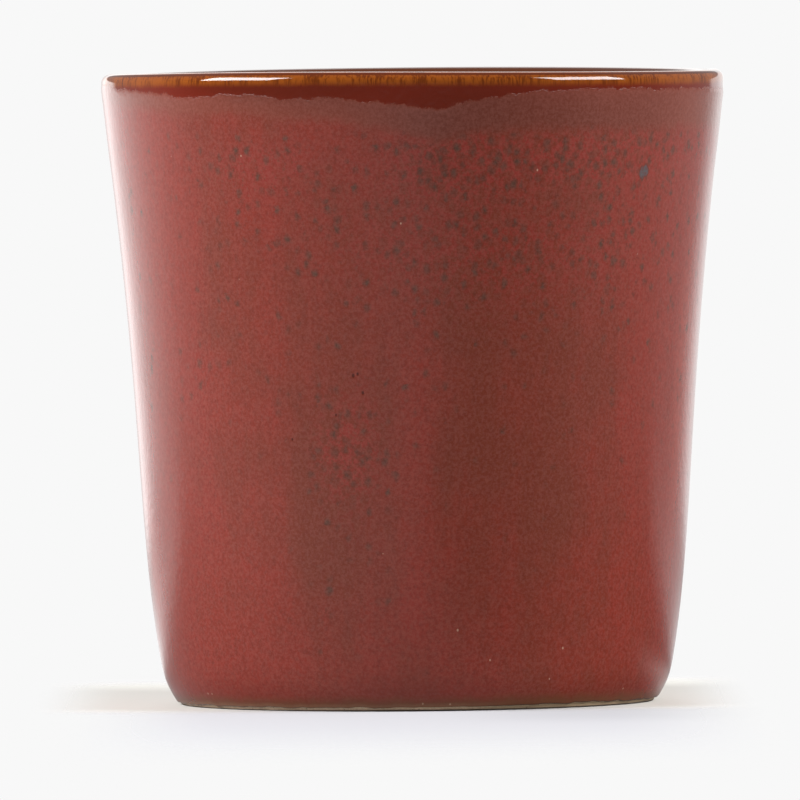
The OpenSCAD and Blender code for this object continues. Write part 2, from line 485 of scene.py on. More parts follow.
# The recess's coat ends at a share of the slope's length, with swings as (turns, direction, amount),
# and rounds off over a short width
RECESS_EDGE_SHARE = 0.62
RECESS_SWINGS = [(3, 40, 0.20), (5, 10, 0.14), (11, 60, 0.09), (19, 7, 0.06), (43, 3, 0.03)]
RECESS_ROUND_W = 0.4

# Rows of the clay on the stretches from the ceiling to the floor. The foot's face has the most.
CLAY_ROWS = (8, 14, 72, 26, 46, 4, 24, 44, 16, 12)
# Rings that the turning tool leaves in the foot: spacing, depth, their depth's swings as (turns,
# direction, amount), and the widths over which they come and go at the face's edges
RING_SPACING, RING_DEPTH = 0.62, 0.05
RING_SWINGS = [(1, 0, 0.7), (0.37, 40, 0.3)]
RING_COMES, RING_GOES = 0.5, 0.6


def glaze_values(s, angle, foot_s, lip_s):
    """Numbers that the glaze's finish reads: distances in mm along the wall, and two densities."""
    z = CLAY.at(s)[..., 1]
    scatter = SCATTER * between(z, *SCATTER_HEIGHTS) + LEAST_SCATTER
    streaks = swings(angle, STREAKS) * between(z, *STREAK_HEIGHTS)
    return {
        "above_foot_line": s - foot_s,
        "below_lip_line": lip_s - swings(angle, LIP_JAGS) - s,
        "over_edge": s - AMBER_S,
        "speckle": np.clip(scatter + clustered(angle, z, SPECKLE_CLUSTERS), 0, 1),
        "tint": clustered(angle, z, TINTS_AND_PAINTED_SHADE) + streaks,
    }


def make_outer_glaze():
    """Coat on the wall, with a rounded edge above the foot. It runs on under the lip's coat.

    Thickness is FOOT_COAT at the foot and passes into the wall's coat over FOOT_COAT_FADE, times a
    quarter round at the edge, less the tuck. The face is the clay's line moved out by it, plus the bulge
    in radius."""
    angle = angles(COLUMNS)
    foot_s = CLAY.length_at_height(foot_line_height(angle))
    lip_s = CLAY.length_at_height(lip_line_height(angle))
    to_seam = foot_s + (lip_s - foot_s) * spread(*OUTER_ROWS)
    s = np.concatenate([to_seam[:-1], lip_s + SEAM_ROWS])
    from_foot = s - foot_s
    at_foot = (FOOT_COAT - WALL_COAT) * (1 - smooth(from_foot / FOOT_COAT_FADE))
    rounded = (coat_thickness(s) + at_foot) * quarter_round(from_foot / FOOT_ROUND_W)
    front = CLAY.moved_out(s, rounded - tuck(s - lip_s))
    front[..., 0] += outside_bulge(s, angle, lip_s)
    back_s = s[-1] + (foot_s - s[-1]) * spread(OUTER_BACK_ROWS)
    points = np.concatenate([front, CLAY.moved_out(back_s, -COAT_SINK)])
    lengths = np.concatenate([s, back_s])
    return turned_piece("outer_glaze_coat", warped(points, angle), False,
                        glaze_values(lengths, angle, foot_s, lip_s))


def make_lip_glaze():
    """Coat over the lip, from its wavy line outside to the top of the inner coat. It runs on under both.

    The face is the clay's line moved out by the coat's thickness less the tucks, plus the bulge in
    radius outside."""
    angle = angles(COLUMNS)
    foot_s = CLAY.length_at_height(foot_line_height(angle))
    lip_s = CLAY.length_at_height(lip_line_height(angle))
    band = lip_s + (EDGE_S - lip_s) * spread(LIP_BAND_ROWS)[1:]
    over = EDGE_S + (INNER_S - EDGE_S) * spread(LIP_OVER_ROWS)[1:-1] + 0 * angle
    s = np.concatenate([lip_s - SEAM_ROWS[::-1], band, over, INNER_S + SEAM_ROWS + 0 * angle])
    front = CLAY.moved_out(s, coat_thickness(s) - tuck(lip_s - s) - tuck(s - INNER_S))
    front[..., 0] += np.where(s < EDGE_S, outside_bulge(s, angle, lip_s), 0)
    points = np.concatenate([front, CLAY.moved_out(s[::-1], -COAT_SINK)])
    lengths = np.concatenate([s, s[::-1]])
    return turned_piece("lip_glaze_coat", warped(points, angle), False,
                        glaze_values(lengths, angle, foot_s, lip_s))


def make_inner_glaze():
    """Coat inside, with the faint spiral that the potter's fingers leave in the clay under it.

    The face is the clay's line moved out by the coat's thickness and by height * sin(2 pi depth / pitch
    + angle), where depth is the length below the lip."""
    angle = angles(INSIDE_COLUMNS)
    last_s = CLAY.length[-1] - AXIS_GAP
    down_to_floor = INNER_S + (last_s - INNER_S) * spread(INNER_ROWS)[1:]
    s = np.concatenate([INNER_S - SEAM_ROWS[::-1], down_to_floor]) + 0 * angle
    depth = s - INNER_S
    front = CLAY.moved_out(s, coat_thickness(s) - tuck(-depth))
    spiral = SPIRAL_H * np.sin(2 * math.pi * depth / SPIRAL_PITCH + np.radians(angle))
    shown = spiral * smooth(depth / SPIRAL_COMES) * smooth((last_s - s) / SPIRAL_GOES)
    front += CLAY.outward(s) * shown[..., None]
    back_s = s[0] + (last_s - s[0]) * spread(INNER_BACK_ROWS)
    points = np.concatenate([front[::-1], CLAY.moved_out(back_s, -COAT_SINK)])
    lengths = np.concatenate([s[::-1], back_s])
    return turned_piece("inner_glaze_coat", warped(points, angle), True, {"over_edge": lengths - AMBER_S})


def make_recess_glaze():
    """Coat under the floor, which stops in an uneven rounded edge on the foot ring's inner slope.

    The face is the clay's line moved out by RECESS_COAT times a quarter round at the edge."""
    angle = angles(INSIDE_COLUMNS)
    slope_length = CLAY.end["slope"] - CLAY.start["slope"]
    edge_s = CLAY.start["slope"] + slope_length * RECESS_EDGE_SHARE + swings(angle, RECESS_SWINGS)
    s = AXIS_GAP + (edge_s - AXIS_GAP) * spread(*RECESS_ROWS)
    front = CLAY.moved_out(s, RECESS_COAT * quarter_round((edge_s - s) / RECESS_ROUND_W))
    points = np.concatenate([front, CLAY.moved_out(s, -COAT_SINK)[::-1]])
    lengths = np.concatenate([s, s[::-1]])
    return turned_piece("recess_glaze_coat", warped(points, angle), True,
                        {"inside_edge": edge_s - lengths})


def make_clay_body():
    """The clay, with fine rings cut upward into the foot ring by the turning tool.

    It is the clay's line, raised in the foot's face by RING_DEPTH times the cube of a wave whose crests
    lie RING_SPACING apart."""
    angle = angles(CLAY_COLUMNS)
    face_start, face_end = CLAY.start["inner ease"], CLAY.end["bevel"]
    ends = [AXIS_GAP, CLAY.start["slope"], face_start, face_end, CLAY.end["heel"], CLAY.end["wall"], EDGE_S,
            INNER_S, CLAY.end["inside"], CLAY.end["corner"], CLAY.length[-1] - AXIS_GAP]
    stretches = [np.linspace(a, b, rows + 1) for a, b, rows in zip(ends, ends[1:], CLAY_ROWS)]
    s = np.unique(np.concatenate(stretches))[:, None]
    points = CLAY.at(s)
    in_face = smooth((s - face_start) / RING_COMES) * smooth((face_end - s) / RING_GOES)
    cuts = 0.5 + 0.5 * swings(np.degrees(s * 2 * math.pi / RING_SPACING), RING_SWINGS)
    points[..., 1] += RING_DEPTH * (in_face * cuts**3)
    points = points + 0 * angle[..., None]
    return turned_piece("clay_body_thrown", warped(points, angle), True,
                        {"along_profile": s + 0 * angle})


# A vector's parts, and the Mix node's sockets, which share their names
X, Y, Z = range(3)
NUMBER_A, NUMBER_B, MIXED_NUMBER = 2, 3, 0
COLOUR_A, COLOUR_B, MIXED_COLOUR = 6, 7, 2


class Number:
    """A socket that holds a number. Sums, differences and products of it add Math nodes to its tree."""

    def __init__(self, finish, socket):
        self.finish, self.socket = finish, socket

    def _maths(self, operation, *values):
        return self.finish.node("ShaderNodeMath", {"operation": operation}, dict(enumerate(values)))

    def __add__(self, other):
        return self._maths("ADD", self, other)

    def __sub__(self, other):
        return self._maths("SUBTRACT", self, other)

    def __rsub__(self, other):
        return self._maths("SUBTRACT", other, self)

    def __mul__(self, other):
        return self._maths("MULTIPLY", self, other)

    def over(self, other):
        """The larger of two numbers."""
        return self._maths("MAXIMUM", self, other)

    def size(self):
        """The number without its sign."""
        return self._maths("ABSOLUTE", self)

    def swing(self, amount):
        """A noise between 0 and 1, as a swing about 0 of half the amount each way."""
        return (self - 0.5) * amount

    __radd__ = __add__
    __rmul__ = __mul__


class Finish:
    """A node tree under construction, with a method for each kind of node that the finishes use."""

    def __init__(self, tree):
        self.tree = tree
        tree.nodes.clear()

    def node(self, kind, settings=None, sockets=None, out=0):
        """Adds a node, sets its settings and then its sockets, and returns one of its outputs."""
        made = self.tree.nodes.new(kind)
        for key, value in (settings or {}).items():
            setattr(made, key, value)
        for key, value in (sockets or {}).items():
            value = value.socket if isinstance(value, Number) else value
            if isinstance(value, bpy.types.NodeSocket):
                self.tree.links.new(value, made.inputs[key])
            else:
                made.inputs[key].default_value = value
        if not made.outputs:
            return made
        socket = made.outputs[out]
        return Number(self, socket) if socket.type == "VALUE" else socket

    def place(self):
        """The point on the piece, in millimetres."""
        point = self.node("ShaderNodeTexCoord", out="Object")
        return self.node("ShaderNodeVectorMath", {"operation": "SCALE"}, {0: point, "Scale": 1 / MM})

    def axis(self, vector, which):
        """A vector's X, Y or Z."""
        return self.node("ShaderNodeSeparateXYZ", None, {0: vector}, which)

    def drawn_out(self, point, upright):
        """A point that keeps a share of its height, which draws a pattern on it out upright."""
        return self.node("ShaderNodeVectorMath", {"operation": "MULTIPLY"}, {0: point, 1: (1, 1, upright)})

    def bent(self, point, colour, amount):
        """A point moved by a noise's colour, up to half the amount each way."""
        middle = (0.5, 0.5, 0.5)
        centred = self.node("ShaderNodeVectorMath", {"operation": "SUBTRACT"}, {0: colour, 1: middle})
        moved = self.node("ShaderNodeVectorMath", {"operation": "SCALE"}, {0: centred, "Scale": amount})
        return self.node("ShaderNodeVectorMath", {"operation": "ADD"}, {0: point, 1: moved})

    def attribute(self, name):
        """A number that the piece's mesh carries."""
        return self.node("ShaderNodeAttribute", {"attribute_name": name}, out="Fac")

    def noise(self, point, scale, octaves, roughness=0.5, upright=1, out=0):
        """A cloudy noise between 0 and 1, drawn out upright where a share of the height is given."""
        if upright != 1:
            point = self.drawn_out(point, upright)
        return self.node("ShaderNodeTexNoise", None, {
            "Vector": point, "Scale": scale, "Detail": octaves, "Roughness": roughness}, out)

    def cells(self, point, scale, out="Distance"):
        """Distance from the middle of the nearest cell, or a colour of its own for each cell."""
        return self.node("ShaderNodeTexVoronoi", None, {"Vector": point, "Scale": scale}, out)

    def channel(self, colour, which):
        """A colour's red, green or blue, by number."""
        return self.node("ShaderNodeSeparateColor", None, {0: colour}, which)

    def fade(self, value, start, end, low=0.0, high=1.0):
        """A smooth pass from low to high as value goes from start to end."""
        return self.node("ShaderNodeMapRange", {"interpolation_type": "SMOOTHSTEP"}, {
            "Value": value, "From Min": start, "From Max": end, "To Min": low, "To Max": high})

    def near(self, point, centre, reach, soft):
        """1 near a centre, 0 beyond reach, with a soft share of the reach between them."""
        away = self.node("ShaderNodeVectorMath", {"operation": "DISTANCE"}, {0: point, 1: centre}, "Value")
        return self.fade(away, reach, reach * (1 - soft))

    def mix(self, amount, a, b):
        """Colour a turned into colour b by an amount."""
        a, b = (value if isinstance(value, bpy.types.NodeSocket) else (*value, 1) for value in (a, b))
        return self.node("ShaderNodeMix", {"data_type": "RGBA"}, {
            "Factor": amount, COLOUR_A: a, COLOUR_B: b}, MIXED_COLOUR)

    def mix_numbers(self, amount, a, b):
        """Number a turned into number b by an amount."""
        return self.node("ShaderNodeMix", {"data_type": "FLOAT"}, {
            "Factor": amount, NUMBER_A: a, NUMBER_B: b}, MIXED_NUMBER)

    def bump(self, height):
        """A normal from a height in millimetres."""
        return self.node("ShaderNodeBump", None, {"Strength": 1.0, "Distance": MM, "Height": height})

    def surface(self, sockets):
        """Ends a material in one shader."""
        shader = self.node("ShaderNodeBsdfPrincipled", None, sockets)
        self.node("ShaderNodeOutputMaterial", None, {0: shader})


def material(name, recipe, *details):
    """A new material, made by a recipe that takes its Finish and some details."""
    made = bpy.data.materials.new(name)
    made.use_nodes = True
    recipe(Finish(made.node_tree), *details)
    return made


# Pigments
RED = (0.150, 0.0190, 0.0100)
BRIGHT_RED = (0.176, 0.0185, 0.0105)
WARM_RED = (0.222, 0.0290, 0.0175)
CRIMSON = (0.192, 0.0195, 0.0132)
BROWN_RED = (0.122, 0.0205, 0.0098)
DEEP_RED = (0.098, 0.0140, 0.0080)
HAZE = (0.138, 0.0272, 0.0150)
HAZE_DEEP = (0.097, 0.0205, 0.0115)
# pale grain painted over the red glaze as glints of its bumpy face
PAINTED_GLINTS = (0.290, 0.1080, 0.0860)
SPOT = (0.078, 0.0200, 0.0122)
TEAL_SPOT = (0.058, 0.0270, 0.0165)
OLIVE_SPOT = (0.094, 0.0240, 0.0110)
BLUE_SPOT = (0.066, 0.0560, 0.0600)
BAND_RED = (0.119, 0.0136, 0.0065)
BAND_DEEP = (0.083, 0.0115, 0.0055)
AMBER = (0.207, 0.0510, 0.0065)
AMBER_DARK = (0.080, 0.0145, 0.0032)
LINER = (0.070, 0.0210, 0.0090)
LINER_DARK = (0.045, 0.0130, 0.0060)
OLIVE = (0.122, 0.0450, 0.0185)
FOOT_TAN = (0.190, 0.0880, 0.0480)
FOOT_EDGE = (0.062, 0.0270, 0.0120)
TAN = (0.700, 0.5100, 0.3600)
TAN_SHADE = (0.580, 0.4200, 0.2900)
# darker khaki on the clay's right side: painted shade
KHAKI_SIDE_SHADE = (0.400, 0.2880, 0.1800)
GROG = (0.320, 0.2250, 0.1400)
PALE_GROG = (0.480, 0.3700, 0.2500)
IRON = (0.070, 0.0400, 0.0250)
PIT = (0.040, 0.0070, 0.0045)
# pale dots painted in as the glints of pinholes
PALE_GLINT = (0.430, 0.2700, 0.1900)
# painted contact shadow at the foot's resting edge
CONTACT_SHADOW = (0.068, 0.0460, 0.0340)

# How strongly each finish bends light
RED_GLAZE_INDEX, PLAIN_GLAZE_INDEX, CLAY_INDEX = 1.42, 1.5, 1.45

# In the finishes a noise is (scale per mm, octaves, roughness, share of its height that a point keeps),
# and a fade is (start, end, low, high). The last ones may be left out.
WOBBLE_NOISE = (0.7, 2)
RAGGED_NOISE = (2.4, 1)
CLOUD_NOISE = (0.10, 3, 0.55)
STREAK_NOISE = (0.55, 3, 0.6, 0.16)
GRAIN_NOISE = (2.3, 3, 0.75)
MOTTLE_NOISE = (1.1, 2, 0.6)
# How far the wobble and the ragged noise move the cells, in mm, and the share that draws them out
WOBBLE_BEND, RAGGED_BEND, CELLS_UPRIGHT = 0.8, 0.55, 0.80
# The calm haze: distances below the lip's line, how far the mottle moves its lower edge, and how much
# higher it ends on the left and lower on the right, by x in mm. The glaze is lively below it, down to
# these distances above the foot's line, and deep where the tint is high.
HAZE_FADE, HAZE_SWING, HAZE_SIDE_FADE = (4.6, 2.7), 2, (-30, 30, 1.4, -1.3)
LIVELY_FADE = (0.5, 4.0)
DEEP_FADE = (0, 0.8)


def wall_patterns(finish):
    """What the layers of the red glaze share: where the point is, two densities, noises, and how calm,
    lively and deep the glaze is there."""
    place = finish.place()
    wobble = finish.noise(place, *WOBBLE_NOISE, out="Color")
    ragged = finish.noise(place, *RAGGED_NOISE, out="Color")
    bent = finish.bent(finish.bent(place, wobble, WOBBLE_BEND), ragged, RAGGED_BEND)
    x = finish.axis(place, X)
    above = finish.attribute("above_foot_line")
    below = finish.attribute("below_lip_line")
    tint = finish.attribute("tint")
    mottle = finish.noise(place, *MOTTLE_NOISE)
    calm = finish.fade(below + mottle.swing(HAZE_SWING) + finish.fade(x, *HAZE_SIDE_FADE), *HAZE_FADE)
    return SimpleNamespace(
        place=place, x=x, above=above, below=below, over=finish.attribute("over_edge"),
        speckle=finish.attribute("speckle"), tint=tint,
        clouds=finish.noise(place, *CLOUD_NOISE), streaks=finish.noise(place, *STREAK_NOISE),
        grain=finish.noise(place, *GRAIN_NOISE), mottle=mottle, ragged=ragged,
        for_cells=finish.drawn_out(bent, CELLS_UPRIGHT),
        calm=calm, lively=(1 - calm) * finish.fade(above, *LIVELY_FADE), deep=finish.fade(tint, *DEEP_FADE))


# Clouds: how far noises move the tint, and the tints where the glaze is brown and where warm red
CLOUD_SWING, STREAK_SWING = 1.3, 0.9
BROWN_FADE, WARM_FADE = (-0.35, 0.75), (-0.40, -1.05)


def cloudy_red(finish, wall):
    """Clouds and streaks of brown in bright red, and a warmer red where the tint is low."""
    brown = wall.tint + wall.clouds.swing(CLOUD_SWING) + wall.streaks.swing(STREAK_SWING)
    colour = finish.mix(finish.fade(brown, *BROWN_FADE), BRIGHT_RED, BROWN_RED)
    return finish.mix(finish.fade(wall.tint, *WARM_FADE), colour, WARM_RED)


# Leather: cells per mm, the shares that cells and mottle have in it, and its amount in calm glaze with
# what lively and speckled glaze add
LEATHER_CELLS = 1.5
LEATHER_CELL_FADE, LEATHER_CELL_SHARE = (0.50, 0.15), 0.5
LEATHER_MOTTLE_FADE, LEATHER_MOTTLE_SHARE = (0.38, 0.62), 0.5
LEATHER, LIVELY_LEATHER, SPECKLED_LEATHER = 0.20, 0.27, 0.10


def leathery(finish, wall, colour):
    """The colour, darkened in small cells and where the mottle is high."""
    away = finish.cells(wall.for_cells, LEATHER_CELLS)
    leather = (finish.fade(away, *LEATHER_CELL_FADE) * LEATHER_CELL_SHARE
               + finish.fade(wall.mottle, *LEATHER_MOTTLE_FADE) * LEATHER_MOTTLE_SHARE)
    amount = LEATHER + wall.lively * LIVELY_LEATHER + wall.speckle * SPECKLED_LEATHER
    return finish.mix(leather * amount, colour, DEEP_RED)


# Fades by the distance in a cell, by the mottle and by the speckle: the network and the olive mottling
NETWORK_FADES = ((0.28, 0.60), (0.36, 0.58), (0.15, 0.9, 0.05, 0.75))
OLIVE_FADES = ((0.46, 0.20), (0.40, 0.60), (0.15, 0.8, 0.05, 0.55))
OLIVE_CELLS = 2.0
# Spots: cells per mm, how readily speckle fills them, and where rim and core end. A cell's size adds a
# share to both.
SPOT_CELLS = 0.80
SPOT_CHANCE, SPOT_FADE = 1.25, (-0.05, 0.25)
RIM_FROM, RIM_TO, RIM_AMOUNT = 0.48, 0.16, 0.66
CORE_FROM, CORE_TO, CORE_AMOUNT_FADE = 0.28, 0.02, (0.2, 0.7, 0.35, 0.90)
SIZE_SHARE = 0.18


def patterned(finish, wall, away, fades):
    """How strongly a pattern of cells shows in lively glaze: the product of its three fades."""
    cell_fade, mottle_fade, speckle_fade = fades
    shown = finish.fade(away, *cell_fade) * finish.fade(wall.mottle, *mottle_fade) * wall.lively
    return shown * finish.fade(wall.speckle, *speckle_fade)


def spotted(finish, wall, colour):
    """A red network round cells, fine olive mottling, and in some of the cells blue-grey spots with a
    browner rim, each with its own chance and size. The spots' cores are returned as well."""
    away = finish.cells(wall.for_cells, SPOT_CELLS)
    kind = finish.cells(wall.for_cells, SPOT_CELLS, "Color")
    chance, size, strength = (finish.channel(kind, which) for which in range(3))
    colour = finish.mix(patterned(finish, wall, away, NETWORK_FADES), colour, CRIMSON)
    fine_away = finish.cells(wall.for_cells, OLIVE_CELLS)
    colour = finish.mix(patterned(finish, wall, fine_away, OLIVE_FADES), colour, OLIVE_SPOT)
    here = finish.fade(wall.speckle * SPOT_CHANCE - chance, *SPOT_FADE) * wall.lively
    rim = finish.fade(away, RIM_FROM + size * SIZE_SHARE, RIM_TO) * here
    core = finish.fade(away, CORE_FROM + size * SIZE_SHARE, CORE_TO) * here
    colour = finish.mix(rim * RIM_AMOUNT, colour, SPOT)
    return finish.mix(core * finish.fade(strength, *CORE_AMOUNT_FADE), colour, TEAL_SPOT), core


# Fine pale grain over the red glaze: painted glints of its bumpy face
PAINTED_GLINTS_FADE = (0.34, 0.70, 0, 0.165)


def hazy(finish, wall, colour):
    """The haze under the lip is one even colour. A fine pale grain lies over it and over the layers before
    it: painted glints of the glaze's bumpy face.
    """
    colour = finish.mix(wall.calm, colour, finish.mix(wall.deep, HAZE, HAZE_DEEP))
    return finish.mix(finish.fade(wall.grain, *PAINTED_GLINTS_FADE), colour, PAINTED_GLINTS)


# Foot: how far noises move its edges, distances above the foot's line, and sides by x in mm
FOOT_SWING, FOOT_FADE, FOOT_AMOUNT = 1.6, (2.2, 0.3), 0.85
THIN_SWING, THIN_FADE, THIN_SIDE_FADE = 0.6, (0.95, 0.30), (14, 4, 0, 0.8)
END_FADE, END_SIDE_FADE = (0.42, 0.10), (4, 16, 0, 0.75)


def thin_at_foot(finish, wall, colour):
    """Down at the foot the glaze thins to an olive brown. It ends in tan on the left and in a dark edge
    on the right. How far it has thinned is returned as well."""
    foot = finish.fade(wall.above + wall.streaks.swing(FOOT_SWING), *FOOT_FADE)
    colour = finish.mix(foot * FOOT_AMOUNT, colour, OLIVE)
    thinned = finish.fade(wall.above + wall.grain.swing(THIN_SWING), *THIN_FADE)
    colour = finish.mix(thinned * finish.fade(wall.x, *THIN_SIDE_FADE), colour, FOOT_TAN)
    ending = finish.fade(wall.above, *END_FADE) * finish.fade(wall.x, *END_SIDE_FADE)
    return finish.mix(ending, colour, FOOT_EDGE), foot


# Single marks on the wall as (direction, height, half size), and how softly each kind ends
BLUE_MARKS = [(49.7, 68.4, 0.84), (48.8, 68.1, 0.84), (141, 67.0, 0.36), (-96, 69.4, 0.30)]
DARK_MARKS = [(59.6, 76.1, 0.17), (-12.4, 42.9, 0.26), (-11.5, 43.1, 0.20), (-10.5, 40.7, 0.24),
              (-25.9, 34.8, 0.17), (-16.2, 37.9, 0.18), (128, 55, 0.3), (-140, 62, 0.28)]
# Pale marks: pinholes whose glints are painted in as pale dots
PALE_GLINT_MARKS = [(8.8, 10.4, 0.16), (33.8, 7.8, 0.16), (16.2, 6.5, 0.13), (1.2, 1.0, 0.15), (7.6, 0.9, 0.15),
              (-57.2, 2.0, 0.13), (-55.5, 2.0, 0.12), (31, 3.9, 0.11), (55.3, 2.2, 0.12),
              (71.2, 1.7, 0.12), (-2.4, 62.0, 0.13), (24, 68.6, 0.15), (-34, 70.5, 0.14),
              (150, 12, 0.14), (-130, 20, 0.15), (95, 60, 0.14), (-170, 71, 0.15)]
BLUE_SOFT, DARK_SOFT, PALE_GLINT_SOFT = 0.75, 0.6, 0.5
MARKS_UPRIGHT = 0.7
# The blue marks' ragged edge in mm, their grain, and where they turn dark and then blue
BLUE_BEND, BLUE_GRAIN_FADE = 0.28, (0.40, 0.60, 0.62, 1)
BLUE_RIM_FADE, BLUE_RIM_AMOUNT = (0, 0.35), 0.7
BLUE_FADE, BLUE_AMOUNT = (0.25, 0.85), 0.9
DARK_AMOUNT, PALE_GLINT_AMOUNT = 0.8, 0.55
# Pale pinpricks all over, which are painted glints of pinholes: cells per mm, their size as a distance
# in the cell, and which cells have one
PIN_CELLS, PIN_FADE, PIN_CHANCE_FADE = 0.24, (0.022, 0.010), (0.55, 0.60)


def on_wall(angle, z):
    """Point of the outer coat's face at a direction and height, in millimetres."""
    s = CLAY.length_at_height(np.array(float(z)))
    radius = float(CLAY.at(s)[0] + coat_thickness(s) * math.cos(HEEL_LEAN))
    return tuple(float(v) for v in warped(np.array([radius, float(z)]), np.array(float(angle))))


def marks(finish, place, spots, soft):
    """The strongest of several single spots, drawn out a little down the wall."""
    tall = finish.drawn_out(place, MARKS_UPRIGHT)
    total = None
    for angle, z, reach in spots:
        x, y, height = on_wall(angle, z)
        spot = finish.near(tall, (x, y, MARKS_UPRIGHT * height), reach, soft)
        total = spot if total is None else total.over(spot)
    return total


def marked(finish, wall, colour):
    """The colour with its single blue, dark and pale marks, and pale pinpricks. The pale marks and the
    pinpricks are pinholes with their glints painted in as a pale colour. The dark ones and the pale ones
    are returned as well."""
    ragged = finish.bent(wall.place, wall.ragged, BLUE_BEND)
    blue = marks(finish, ragged, BLUE_MARKS, BLUE_SOFT) * finish.fade(wall.grain, *BLUE_GRAIN_FADE)
    dark = marks(finish, wall.place, DARK_MARKS, DARK_SOFT)
    pins = finish.fade(finish.cells(wall.place, PIN_CELLS), *PIN_FADE)
    pin_kind = finish.channel(finish.cells(wall.place, PIN_CELLS, "Color"), 0)
    pins = pins * finish.fade(pin_kind, *PIN_CHANCE_FADE)
    pale = marks(finish, wall.place, PALE_GLINT_MARKS, PALE_GLINT_SOFT).over(pins)
    colour = finish.mix(finish.fade(blue, *BLUE_RIM_FADE) * BLUE_RIM_AMOUNT, colour, SPOT)
    colour = finish.mix(finish.fade(blue, *BLUE_FADE) * BLUE_AMOUNT, colour, BLUE_SPOT)
    colour = finish.mix(dark * DARK_AMOUNT, colour, PIT)
    return finish.mix(pale * PALE_GLINT_AMOUNT, colour, PALE_GLINT), dark, pale


# Lip: how far noises move the band's line and the amber's edge, and the distances in mm
JAG_NOISE, JAG_SWING, BAND_FADE = (2.2, 3, 0.75, 0.7), 1.2, (0.07, -0.07)
BAND_GRAIN_FADE = (0.40, 0.65, 0, 0.25)
FINE_NOISE, AMBER_SWING, AMBER_FADE = (3.2, 3, 0.7, 0.10), 0.8, (-0.74, 0.12)
POOL_NOISE, POOL_SWING, POOL_FADE = (0.45, 2, 0.5, 0.2), 0.5, (0.42, 0.66, 0, 0.85)
# A dark line across the lip's top is painted shade: its distance over the edge, how far a noise moves it,
# and its fade
SHADE_LINE, SHADE_LINE_SWING, SHADE_LINE_FADE = 0.85, 0.2, (0.26, 0.08)
LINER_FADE = (1.3, 1.55)


def broken_over_lip(finish, wall, colour):
    """The deep red band above its ragged line, and over the edge amber with fine upright streaks, a dark
    line of painted shade across the lip's top, and then the liner's colour. The band and the amber are
    returned as well."""
    jags = finish.noise(wall.place, *JAG_NOISE)
    band = finish.fade(wall.below + jags.swing(JAG_SWING), *BAND_FADE)
    colour = finish.mix(band, colour, finish.mix(wall.deep, BAND_RED, BAND_DEEP))
    colour = finish.mix(band * finish.fade(wall.grain, *BAND_GRAIN_FADE), colour, DEEP_RED)
    fine = finish.noise(wall.place, *FINE_NOISE)
    amber = finish.fade(wall.over + fine.swing(AMBER_SWING), *AMBER_FADE)
    pools = finish.noise(wall.place, *POOL_NOISE)
    dark = finish.fade(fine + pools.swing(POOL_SWING), *POOL_FADE)
    colour = finish.mix(amber, colour, finish.mix(dark, AMBER, AMBER_DARK))
    # Painted shade: the dark line across the lip's top
    from_line = (wall.over + fine.swing(SHADE_LINE_SWING) - SHADE_LINE).size()
    colour = finish.mix(finish.fade(from_line, *SHADE_LINE_FADE), colour, AMBER_DARK)
    return finish.mix(finish.fade(wall.over, *LINER_FADE), colour, LINER), band, amber


# Relief in mm, how much of it the band keeps, and the depth of the marks
PEEL_NOISE, PEEL_H, GRAIN_H, MARK_DEPTH = (0.85, 2), 0.026, 0.004, 0.02
BAND_RELIEF_FADE = (0, 1, 1, 0.35)
# Roughness of the wall with what spots, clouds and thin glaze add, and of the band and the amber
WALL_ROUGHNESS, SPOT_ROUGHNESS, CLOUD_ROUGHNESS, FOOT_ROUGHNESS = 0.15, 0.08, 0.08, 0.10
BAND_ROUGHNESS = 0.05


def reactive_glaze(finish):
    """The red glaze: clouds, a leathery grain, soft blue-grey spots in a red network, a plain haze under
    the lip, and where it breaks over the lip a deep red band with an amber edge."""
    wall = wall_patterns(finish)
    colour = leathery(finish, wall, cloudy_red(finish, wall))
    colour, core = spotted(finish, wall, colour)
    colour, foot = thin_at_foot(finish, wall, hazy(finish, wall, colour))
    colour, dark, pale = marked(finish, wall, colour)
    colour, band, amber = broken_over_lip(finish, wall, colour)
    relief = finish.noise(wall.place, *PEEL_NOISE) * PEEL_H + wall.grain * GRAIN_H
    height = relief * finish.fade(band, *BAND_RELIEF_FADE) - dark * MARK_DEPTH - pale * MARK_DEPTH
    rough = WALL_ROUGHNESS + core * SPOT_ROUGHNESS + wall.clouds.swing(CLOUD_ROUGHNESS)
    rough = finish.mix_numbers(band.over(amber), rough + foot * FOOT_ROUGHNESS, BAND_ROUGHNESS)
    finish.surface({"Base Color": colour, "Roughness": rough, "IOR": RED_GLAZE_INDEX,
                    "Normal": finish.bump(height)})


# Relief in mm and roughness of the coats inside and below, with what clouds add to the roughness
PLAIN_RELIEF = 0.03
LINER_ROUGHNESS, LINER_CLOUD_ROUGHNESS = 0.07, 0.05
RECESS_ROUGHNESS, RECESS_CLOUD_ROUGHNESS = 0.20, 0.10

# Liner: clouds with fine upright streaks, the dark floor and the amber by distance from the lip's edge,
# and specks
LINER_CLOUD_NOISE, LINER_FINE_NOISE, LINER_RELIEF_NOISE = (0.14, 4, 0.6), (1.6, 3, 0.6, 0.25), (0.7, 2)
LINER_CLOUD_SWING, LINER_CLOUD_FADE = 0.4, (0.35, 0.68)
LINER_FLOOR_FADE = (60, 78, 0, 0.5)
LINER_AMBER_SWING, LINER_AMBER_FADE = 2.0, (6.0, 3.5, 0, 0.25)
LINER_SPECK_CELLS, LINER_SPECK_FADE, LINER_SPECK_AMOUNT = 0.8, (0.10, 0.04), 0.7


